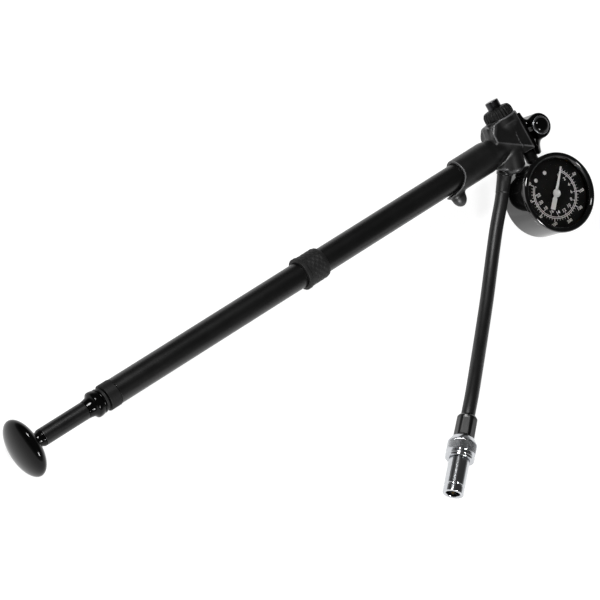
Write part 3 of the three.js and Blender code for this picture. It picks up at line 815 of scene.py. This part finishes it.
# %% [markdown]
# The end cap is one glossy moulding too: a flange on the head's end face, an eye for the clamp screw,
# and a neck that leans down to hold the gauge. Wide fillets join them, so it uses the same field.

# %% End cap
CAP_FACE = HEAD_END + 0.3
EYE_X, EYE_RADIUS = 338, 8


def cap_field(p):
    """Flange, eye and leaning neck, joined with wide fillets, kept off the head's end and its lower
    edge, less the clamp screw's bore and the stem's."""
    x, y, z = p[..., 0], p[..., 1], p[..., 2]
    flange = block_field(p, (CAP_FACE - 3, -7.4, -9.8), (CAP_FACE + 1.4, 7.4, 13.6), 0.9)
    eye = rod_field(p, (EYE_X, 0, 0), (0, 1, 0), EYE_RADIUS, -8, 8, 1.4)
    reach = np.clip((-z - 2) / 13, 0, 1)
    neck = np.hypot(x - (332.5 - 5.8 * reach), y) - (5.0 + 1.7 * reach)
    neck = soft_max(neck, np.maximum(z + 1, -15.2 - z), 0.8)
    body = soft_min(soft_min(flange, eye, 7), neck, 4.5)
    below = np.maximum(CAP_FACE - x, z - (HEAD_BOTTOM - 0.3))
    body = soft_max(body, np.minimum(CAP_FACE - x, np.maximum(below, z - HEAD_BOTTOM + 0.3)), 0.5)
    bore = np.minimum(
        rod_field(p, (EYE_X, 0, 0), (0, 1, 0), 3.1, -20, 20, 0.2),
        rod_field(p, (326, 0, 0), (0, 0, -1), 4.3, 9.4, 30, 0.2),
    )
    return soft_max(body, -bore, 0.4)


points, faces, normals, edge = zero_surface(cap_field, (317, -9, -17), (348, 9, 14.5), 0.4)
make_piece("cap_moulding", points, faces, PUMP, ["end_cap"], weld=False, normals=normals)

CLAMP = along((0, -1, 0), (EYE_X, 0, 0))
dome_angle = np.linspace(0, np.pi / 2, 24)
dome = np.stack([9.6 + 2.3 * np.cos(dome_angle), 4.9 * np.sin(dome_angle)], 1)
shank = rounded([[9.6, 4.9, 0], [9.6, 2.8, 0.2], [-12.2, 2.8, 0.4], [-12.2, 0, 0]], ring=False)
points, faces = spin(np.vstack([dome, shank]), 72, ring=False)
make_piece("screw_dome", points, faces, CLAMP, ["cap_screw"])
turned_piece(
    "screw_washer",
    [[8.3, 3.1, 0.1], [8.3, 5.8, 0.3], [9.3, 5.8, 0.35], [9.3, 3.1, 0.1]],
    ["cap_washer"],
    CLAMP,
)


def hexagon(across):
    """Pulls a round wall in to a hexagon: the wall's radius becomes half the width across flats over
    the cosine of the angle from the nearest flat's middle."""

    def relief(x, angle, radius):
        nearest = (angle + np.pi / 6) % (np.pi / 3) - np.pi / 6
        flat_radius = np.minimum(across / 2 / np.cos(nearest), radius)
        return np.where(radius > across * 0.4, flat_radius - radius, 0)

    return relief


NUT = [
    [-11.6, 3.1, 0.2],
    [-11.6, 4.9, 0],
    [-11.0, 5.6, 0.1],
    [-8.9, 5.6, 0.1],
    [-8.3, 4.9, 0],
    [-8.3, 3.1, 0.2],
]
turned_piece("screw_nut", NUT, ["cap_nut"], CLAMP, relief=hexagon(9.9))

# %% [markdown]
# The bleed valve's cap is knurled so that fingers can turn it. Straight knurling is a wave round the
# rim that fades out towards the dome. The button through it is turned aluminium.

# %% Bleed cap and button
BLEED = along((0, 0, 1), (BLEED_X, 0, 0))
CAP_RIBS = 26


def straight_knurl(x, angle, radius):
    """CAP_RIBS waves round the outer wall, 0.45 mm deep, fading towards the dome and the foot."""
    wall = np.clip((radius - 7.2) / 1.2, 0, 1) * np.clip((x - 16.2) / 0.6, 0, 1)
    return -0.45 * wall * (0.5 + 0.5 * np.cos(CAP_RIBS * angle)) ** 1.5


CAP_CORNERS = [
    [9, 2.4, 0.1],
    [9, 5.2, 0.2],
    [16.3, 5.2, 0.1],
    [16.3, 9.6, 0.6],
    [18.4, 9.6, 0.5],
    [20.2, 9.5, 1.6],
    [22.4, 8.2, 1.4],
    [22.8, 6.2, 0.5],
    [22.8, 4.7, 0.2],
    [13.4, 4.7, 0.1],
    [13.4, 2.4, 0.1],
]
turned_piece("bleed_cap_knurled", CAP_CORNERS, ["bleed_cap"], BLEED, sides=260, relief=straight_knurl)
turned_piece(
    "bleed_button_turned",
    [[5.8, 0, 0], [5.8, 1.2, 0.2], [20.2, 1.2, 0.1], [20.2, 4.35, 0.3], [27.9, 4.35, 0.7], [27.9, 0, 0]],
    ["bleed_button"],
    BLEED,
    ring=False,
    material=SATIN,
)

# %% [markdown]
# The gauge is a deep drawn case, a bezel that is rolled over its front, and a lens. All of it is turned
# about the gauge's own axis, which points out of the dial.

# %% Gauge case, bezel and lens
GAUGE_FRONT, GAUGE_BACK = 15, -12.5
GAUGE = along((0, -1, 0), (GAUGE_X, 0, GAUGE_Z))
CASE = [
    [GAUGE_BACK, 0, 0],
    [GAUGE_BACK, GAUGE_RADIUS, 0.9],
    [10.4, GAUGE_RADIUS, 0.2],
    [10.4, 22.7, 0.1],
    [GAUGE_BACK + 2, 22.7, 0.3],
    [GAUGE_BACK + 2, 0, 0],
]
turned_piece("gauge_case_drawn", CASE, ["gauge_case"], GAUGE, ring=False, sides=160, material=ENAMEL)
BEZEL = [
    [10.9, 22.7, 0.1],
    [10.9, 24.75, 0.3],
    [11.5, 24.75, 0.12],
    [11.6, 24.4, 0.1],
    [11.9, 24.4, 0.1],
    [12.0, 25.0, 0.35],
    [GAUGE_FRONT - 0.6, 25.0, 0.9],
    [GAUGE_FRONT, 23.9, 0.7],
    [GAUGE_FRONT - 0.1, 22.6, 0.5],
    [13.4, 21.6, 0.25],
    [13.2, 21.6, 0.05],
    [13.2, 22.7, 0.1],
]
turned_piece("gauge_bezel_rolled", BEZEL, ["gauge_bezel"], GAUGE, sides=160, material=ENAMEL)
turned_piece(
    "gauge_lens_clear",
    [[11.6, 0, 0], [11.6, 22.4, 0.1], [12.9, 22.4, 0.1], [12.9, 0, 0]],
    ["gauge_lens"],
    GAUGE,
    ring=False,
)

# %% [markdown]
# The dial is printed, so its marks are flat: here thin slips of ink 0.05 mm above the plate. The outer
# scale has eight steps and small divisions, the inner one twelve steps, and both start 45 degrees past
# the stem and run 270 degrees clockwise. The numbers are plain sizes with no name or maker.

# %% Dial marks
DIAL_AT = 8.4
INK_LOW, INK_HIGH = DIAL_AT + 0.03, DIAL_AT + 0.08
SCALE_START, SCALE_SWEEP = 45, 270
RING_OUTER, RING_INNER = 15.5, 14.6
DIAL_FRAME = PUMP @ Matrix.Translation(Vector((GAUGE_X, 0, GAUGE_Z)) * MM)


def on_dial(radius, degrees, height):
    """Dial place to the pump's frame: degrees run clockwise from the stem, as the needle does."""
    angle = np.radians(degrees)
    radius, angle, height = np.broadcast_arrays(radius, angle, height)
    return np.stack([radius * np.sin(angle), -height, radius * np.cos(angle)], -1)


BOX_FACES = np.array([[0, 1, 3, 2], [4, 6, 7, 5], [0, 4, 5, 1], [2, 3, 7, 6], [0, 2, 6, 4], [1, 5, 7, 3]])


def tick_marks(degrees, inner, outer, width):
    """One thin box a mark, between two radii, width millimetres across."""
    half = np.degrees(width / 2 / inner)
    corners = [
        on_dial(radius, degrees + side * half * inner / radius, height)
        for height in (INK_LOW, INK_HIGH)
        for radius in (inner, outer)
        for side in (-1, 1)
    ]
    points = np.stack(corners, 1).reshape(-1, 3)
    faces = (np.arange(len(degrees))[:, None, None] * 8 + BOX_FACES).reshape(-1, 4)
    return points, faces


def ink_ring(middle, width, start, sweep, sides=120):
    """A flat band of ink: a small rectangle carried round part of a circle."""
    angle = start + np.linspace(0, sweep, sides)
    radii = np.array([middle - width / 2, middle + width / 2, middle + width / 2, middle - width / 2])
    heights = np.array([INK_LOW, INK_LOW, INK_HIGH, INK_HIGH])
    points = on_dial(radii[None, :], angle[:, None], heights[None, :]).reshape(-1, 3)
    row, column = np.arange(sides - 1)[:, None] * 4, np.arange(4)[None, :]
    turn = (column + 1) % 4
    walls = np.stack([row + column, row + turn, row + 4 + turn, row + 4 + column], -1).reshape(-1, 4)
    last = 4 * (sides - 1)
    caps = np.array([[3, 2, 1, 0], [last, last + 1, last + 2, last + 3]])
    return points, np.vstack([walls, caps])


def ink_dot(radius, degrees, size, sides=24):
    """A printed dot: a low prism."""
    turn = np.linspace(0, 2 * np.pi, sides, endpoint=False)
    centre = on_dial(radius, degrees, 0)
    low = centre + np.stack([size * np.cos(turn), np.full(sides, -INK_LOW), size * np.sin(turn)], 1)
    high = low - [0, INK_HIGH - INK_LOW, 0]
    side = np.arange(sides)
    walls = [[a, b, b + sides, a + sides] for a, b in zip(side.tolist(), np.roll(side, -1).tolist())]
    return np.vstack([low, high]), walls + [side[::-1].tolist(), (side + sides).tolist()]


def join(parts):
    """Joins lists of points and faces, shifting each part's face numbers."""
    points, faces, count = [], [], 0
    for part_points, part_faces in parts:
        points.append(part_points)
        rows = part_faces.tolist() if hasattr(part_faces, "tolist") else part_faces
        faces.extend([[corner + count for corner in row] for row in rows])
        count += len(part_points)
    return np.vstack(points), faces


outer_steps = SCALE_START + SCALE_SWEEP * np.arange(9) / 8
outer_small = SCALE_START + SCALE_SWEEP * np.arange(41) / 40
inner_steps = SCALE_START + SCALE_SWEEP * np.arange(13) / 12
marks = join(
    [
        tick_marks(outer_steps, RING_OUTER, 17.7, 0.5),
        tick_marks(outer_small, RING_OUTER, 16.9, 0.24),
        tick_marks(inner_steps, 13.4, RING_INNER, 0.4),
        ink_ring(RING_OUTER, 0.42, SCALE_START, SCALE_SWEEP),
        ink_ring(RING_INNER, 0.42, SCALE_START, SCALE_SWEEP),
        ink_dot(15.3, -30, 1.3),
        ink_dot(14.4, 2, 1.3),
    ]
)
ink = make_piece("dial_marks", *marks, DIAL_FRAME, [], material=INK, body="pump_body", weld=False)
ink.data.shade_flat()


def printed_number(text, radius, degrees, height_mm):
    """A number as flat ink, upright on the dial, its middle at a place on the scale."""
    curve = bpy.data.curves.new("number", "FONT")
    curve.body = text
    curve.size = height_mm * MM * 1.4
    curve.align_x = "CENTER"
    curve.align_y = "CENTER"
    curve.extrude = 0.03 * MM
    curve.offset = 0.07 * MM
    curve.resolution_u = 3
    lettering = bpy.data.objects.new("number", curve)
    bpy.context.scene.collection.objects.link(lettering)
    depsgraph = bpy.context.evaluated_depsgraph_get()
    mesh = bpy.data.meshes.new_from_object(lettering.evaluated_get(depsgraph))
    bpy.data.objects.remove(lettering)
    stand = Matrix.Rotation(math.pi / 2, 4, "X")
    at = Vector(on_dial(radius, degrees, INK_HIGH).tolist()) * MM
    mesh.transform(DIAL_FRAME @ Matrix.Translation(at) @ stand)
    merge_doubles(mesh, 0.0001 * MM)
    mesh.materials.clear()
    mesh.materials.append(INK)
    piece = bpy.data.objects.new("dial_number_" + text + "_" + str(round(degrees % 360)), mesh)
    bpy.context.scene.collection.objects.link(piece)
    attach(piece, "pump_body")


for step, degrees in enumerate(outer_steps[1:], 1):
    printed_number(str(step * 50), 19.3, float(degrees), 1.9)
for step, degrees in enumerate(inner_steps[:-1]):
    printed_number(str(step * 2), 11.9, float(degrees), 2.1)
print("printed", len(outer_steps) + len(inner_steps) - 2, "numbers")

# %% [markdown]
# The needle is a stamped blade with a broad tail that balances it, on a small domed hub. Half its
# outline is drawn and mirrored, and it rests at the start of the scale.

# %% Needle and hub
half = np.array([[0.4, 17.5], [0.9, 4], [1.0, 0], [1.1, -2.6], [1.55, -3.4], [1.55, -10.5]])
blade = np.vstack([half, half[::-1] * [-1, 1]])
reach = np.hypot(blade[:, 0], blade[:, 1])
bearing = SCALE_START + np.degrees(np.arctan2(blade[:, 0], blade[:, 1]))
low = on_dial(reach, bearing, DIAL_AT + 1.1)
high = on_dial(reach, bearing, DIAL_AT + 1.5)
corner = list(range(len(blade)))
walls = [[a, b, b + len(blade), a + len(blade)] for a, b in zip(corner, corner[1:] + corner[:1])]
faces = walls + [corner[::-1], [a + len(blade) for a in corner]]
needle = make_piece("needle_blade", np.vstack([low, high]), faces, DIAL_FRAME, ["gauge_needle"], weld=False)
needle.data.shade_flat()
BOSS = [
    [10.3, 0, 0],
    [10.3, 2.6, 0.15],
    [10.9, 2.6, 0.4],
    [11.3, 1.6, 0.5],
    [11.2, 0.7, 0.1],
    [10.9, 0.5, 0.1],
    [10.9, 0, 0],
]
turned_piece("needle_boss", BOSS, ["needle_hub"], GAUGE, ring=False)

# %% [markdown]
# The hose is a circle carried along its route. Each circle keeps one side level, so the lines of the
# cover run straight along it. The same function makes the tapered relief at its root.

# %% Hose, relief and fitting


def carried(path, radius, inner=None, sides=32, beside=(0, 0, 1.0)):
    """A round wall along a path: each ring lies across the path's direction, and starts on the side
    that is square to both the path and beside, which the path never runs along. radius, and inner for
    a hollow wall, are one value, or one for each path point."""
    way = np.gradient(path, axis=0)
    way /= np.linalg.norm(way, axis=1)[:, None]
    flat_side = np.cross(way, beside)
    flat_side /= np.linalg.norm(flat_side, axis=1)[:, None]
    rise = np.cross(flat_side, way)
    angle = np.linspace(0, 2 * np.pi, sides, endpoint=False)
    ring = np.cos(angle)[None, :, None] * flat_side[:, None] + np.sin(angle)[None, :, None] * rise[:, None]
    wall = path[:, None] + np.broadcast_to(radius, len(path))[:, None, None] * ring
    if inner is None:
        first, last = np.repeat(path[:1, None], sides, 1), np.repeat(path[-1:, None], sides, 1)
        rows = np.concatenate([first, wall, last])
    else:
        bore = path[:, None] + np.broadcast_to(inner, len(path))[:, None, None] * ring
        rows = np.concatenate([wall, bore[::-1], wall[:1]])
    row = np.arange(len(rows) - 1)[:, None] * sides
    column = np.arange(sides)[None, :]
    turn = (column + 1) % sides
    faces = np.stack([row + column, row + sides + column, row + sides + turn, row + turn], -1)
    return rows.reshape(-1, 3), faces.reshape(-1, 4)


ROW_MM = Matrix.Identity(4)
points, faces = carried(HOSE_PATH / MM, HOSE_RADIUS)
hose = make_piece("hose_rubber_tube", points, faces, ROW_MM, ["hose"])
lengths = np.concatenate([[0], np.cumsum(np.linalg.norm(np.diff(HOSE_PATH, axis=0), axis=1))])
loop_vertex = np.zeros(len(hose.data.loops), int)
hose.data.loops.foreach_get("vertex_index", loop_vertex)
on_hose = np.zeros(len(hose.data.vertices) * 3)
hose.data.vertices.foreach_get("co", on_hose)
on_hose = on_hose.reshape(-1, 3)
nearest = np.argmin(((on_hose[:, None] - HOSE_PATH[None]) ** 2).sum(-1), 1)
above = on_hose[:, 2] - HOSE_PATH[nearest, 2]
uv = np.stack([above, lengths[nearest]], 1)[loop_vertex]
hose.data.uv_layers.new(name="along").data.foreach_set("uv", uv.ravel())

RELIEF_LENGTH = 12 * MM
relief_rows = lengths < RELIEF_LENGTH
relief_path = HOSE_PATH[relief_rows] / MM
taper = np.linspace(1, 0, len(relief_path))
points, faces = carried(relief_path, 4.33 + 0.4 * taper, np.full(len(relief_path), 4.28))
relief = make_piece("hose_relief", points, faces, ROW_MM, [], material=HOSE_RUBBER, body="pump_body")

FITTING = [
    [8.3, 1.8, 0.1],
    [8.3, 4.2, 0.2],
    [17.8, 4.2, 0.1],
    [17.8, 5.3, 0.4],
    [19.7, 5.1, 0.4],
    [19.7, 1.8, 0.1],
]
turned_piece("fitting_turned", FITTING, ["hose_fitting"], along(PORT_WAY, PORT_FROM))

# %% [markdown]
# The bleed button's return spring is music wire, wound in four turns. It shortens as the button goes
# down, and it is given a mesh of its own.

# %% Return spring
SPRING_FROM, SPRING_LENGTH, SPRING_RADIUS, SPRING_TURNS, WIRE_RADIUS = 14, 5.6, 3.1, 4, 0.35
wound = np.linspace(0, 1, 161)
turn = 2 * np.pi * SPRING_TURNS * wound
coil = np.stack(
    [SPRING_FROM + SPRING_LENGTH * wound, SPRING_RADIUS * np.cos(turn), SPRING_RADIUS * np.sin(turn)], 1
)
points, faces = carried(coil, WIRE_RADIUS, sides=10, beside=(1.0, 0, 0))
spring = make_piece("return_spring", points, faces, BLEED, ["bleed_spring"])
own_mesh(spring)

# %% [markdown]
# At the hose's end a crimped ferrule holds it, a knurled collar turns on the ferrule, and a plain
# chromed sleeve screws onto the valve. The collar's knurl is a ring of fine grooves along it, which
# break its reflection into thin lines.

# %% Ferrule, collar and chuck
FERRULE = [
    [-21.8, 0, 0],
    [-21.8, 5.0, 0.3],
    [-20.4, 6.1, 0.3],
    [-7.8, 6.25, 0.2],
    [-7.3, 5.75, 0.2],
    [-7.3, 3.4, 0.1],
    [2, 3.4, 0.2],
    [2, 0, 0],
]


def crimped(x, angle, radius):
    """Six pressed flats on the ferrule's middle, blended out at both ends."""
    middle = np.clip((x + 20.6) / 1.5, 0, 1) * np.clip((-7.4 - x) / 0.6, 0, 1) * (radius > 5)
    nearest = (angle + np.pi / 6) % (np.pi / 3) - np.pi / 6
    flat_radius = np.minimum(5.75 / np.cos(nearest), radius)
    return (flat_radius - radius) * middle


def with_rows(profile, low, high, count):
    """Adds points along the profile's outer wall between two x, so a relief there has rows to bend."""
    x = np.linspace(low, high, count)
    outer = profile[:, 1] > 0.9 * profile[:, 1].max()
    order = np.argsort(profile[outer, 0])
    radius = np.interp(x, profile[outer, 0][order], profile[outer, 1][order])
    after = int(np.argmax(outer & (profile[:, 0] > low)))
    kept_before = profile[:after]
    kept_after = profile[after:][~((profile[after:, 0] > low) & (profile[after:, 0] < high) & outer[after:])]
    return np.vstack([kept_before, np.stack([x, radius], 1), kept_after])


ferrule_line = with_rows(rounded(FERRULE, ring=False), -20.2, -8.0, 24)
points, faces = spin(ferrule_line, ring=False, relief=crimped)
ferrule = make_piece("ferrule_crimped", points, faces, CHUCK, ["hose_ferrule"])
keep_flats_flat(ferrule)

KNURLS = 70


def fine_knurl(x, angle, radius):
    """KNURLS fine grooves along the collar, 0.2 mm deep, a folded wave in angle, on its band only."""
    band = np.clip((x + 3.7) / 0.4, 0, 1) * np.clip((2.6 - x) / 0.4, 0, 1) * (radius > 8)
    return 0.2 * band * (np.abs(np.sin(0.5 * KNURLS * angle)) - 1)


COLLAR = [
    [-7, 3.55, 0.2],
    [-7, 6.9, 0.3],
    [-3.8, 8.75, 0.4],
    [2.8, 8.75, 0.15],
    [3.1, 8.25, 0.1],
    [3.8, 8.25, 0.1],
    [4.1, 8.75, 0.15],
    [5.1, 8.75, 0.12],
    [5.3, 8.45, 0.08],
    [5.7, 8.45, 0.08],
    [5.9, 8.7, 0.12],
    [7, 8.5, 0.4],
    [7, 5.6, 0.2],
    [2.3, 5.6, 0.1],
    [2.3, 3.55, 0.1],
]
collar_line = with_rows(rounded(COLLAR), -3.6, 2.6, 14)
points, faces = spin(collar_line, 420, relief=fine_knurl)
collar = make_piece("collar_knurled", points, faces, CHUCK, ["knurled_collar"])
keep_flats_flat(collar)

SLEEVE = [
    [2.6, 2.2, 0.1],
    [2.6, 5.3, 0.1],
    [7.3, 5.3, 0.1],
    [7.3, 6.25, 0.2],
    [23.6, 6.25, 0.15],
    [23.9, 5.85, 0.12],
    [24.7, 5.85, 0.12],
    [25.0, 6.25, 0.15],
    [29, 6.25, 0.45],
    [29, 4.55, 0.15],
    [28.6, 4.2, 0.1],
    [10, 4.2, 0.1],
    [10, 2.2, 0.1],
]
turned_piece("chuck_sleeve_turned", SLEEVE, ["chuck_sleeve"], CHUCK, sides=128)
turned_piece(
    "chuck_pin_turned",
    [[4, 0, 0], [4, 1.2, 0.1], [20.8, 1.2, 0.3], [21.5, 0.7, 0.2], [21.5, 0, 0]],
    ["chuck_pin"],
    CHUCK,
    ring=False,
    sides=32,
)

# %% [markdown]
# The pump lies on a white sweep under two soft boxes. The sweep is grey paper that gives off white
# light of its own, so it stays evenly white and shows next to no shadow. The surroundings are white
# near the table and dark overhead, which is why black gloss shows pale edges and a black middle.

# %% Floor, lights and surroundings
BOX_DISTANCE, BOX_SIDE, BOX_RADIANCE = 1.1, 0.25, 58
bpy.ops.mesh.primitive_plane_add(size=6, location=(0, 0, 0))
floor = bpy.context.object
floor.name = "floor"
paper, paper_tree, paper_shader, paper_place = new_material("paper_white_sweep", "#7c7c7c", 0.9)
add_relief(paper_tree, paper_shader, mottle(paper_tree, paper_place, 2, 2), 0.01, 0.1)
paper_shader.inputs["Emission Color"].default_value = (1, 1, 1, 1)
paper_shader.inputs["Emission Strength"].default_value = 0.9
floor.data.materials.append(paper)


def soft_box(name, way):
    """A square lamp that faces the pump from a direction. Power is radiance times pi times area."""
    light = bpy.data.lights.new(name, "AREA")
    light.shape = "RECTANGLE"
    light.size = light.size_y = BOX_SIDE
    light.energy = BOX_RADIANCE * math.pi * BOX_SIDE**2
    lamp = bpy.data.objects.new(name, light)
    way = Vector(way).normalized()
    aim = (-way).to_track_quat("-Z", "Y").to_matrix().to_4x4()
    lamp.matrix_world = Matrix.Translation(way * BOX_DISTANCE) @ aim
    bpy.context.scene.collection.objects.link(lamp)
    print(name, round(light.energy, 1), "W")


soft_box("box_over", (-0.2, 0.33, 0.92))
soft_box("box_side", (-0.32, -0.8, 0.5))

world = bpy.data.worlds.new("white_tent")
bpy.context.scene.world = world
world.use_nodes = True
sky = world.node_tree
direction = add_node(sky, "TexCoord").outputs["Generated"]
height = add_node(sky, "SeparateXYZ", {"Vector": direction}).outputs["Z"]
fade = add_node(sky, "ValToRGB", {"Fac": height})
fade.color_ramp.elements[0].position = 0.0
fade.color_ramp.elements[0].color = (0.9, 0.9, 0.9, 1)
middle = fade.color_ramp.elements.new(0.1)
middle.color = (0.3, 0.3, 0.3, 1)
fade.color_ramp.elements[-1].position = 0.4
fade.color_ramp.elements[-1].color = (0.05, 0.05, 0.05, 1)
background = sky.nodes["Background"]
sky.links.new(fade.outputs["Color"], background.inputs["Color"])
background.inputs["Strength"].default_value = 1.0
# Tones are shown as they are, with no film curve.
bpy.context.scene.view_settings.view_transform = "Standard"
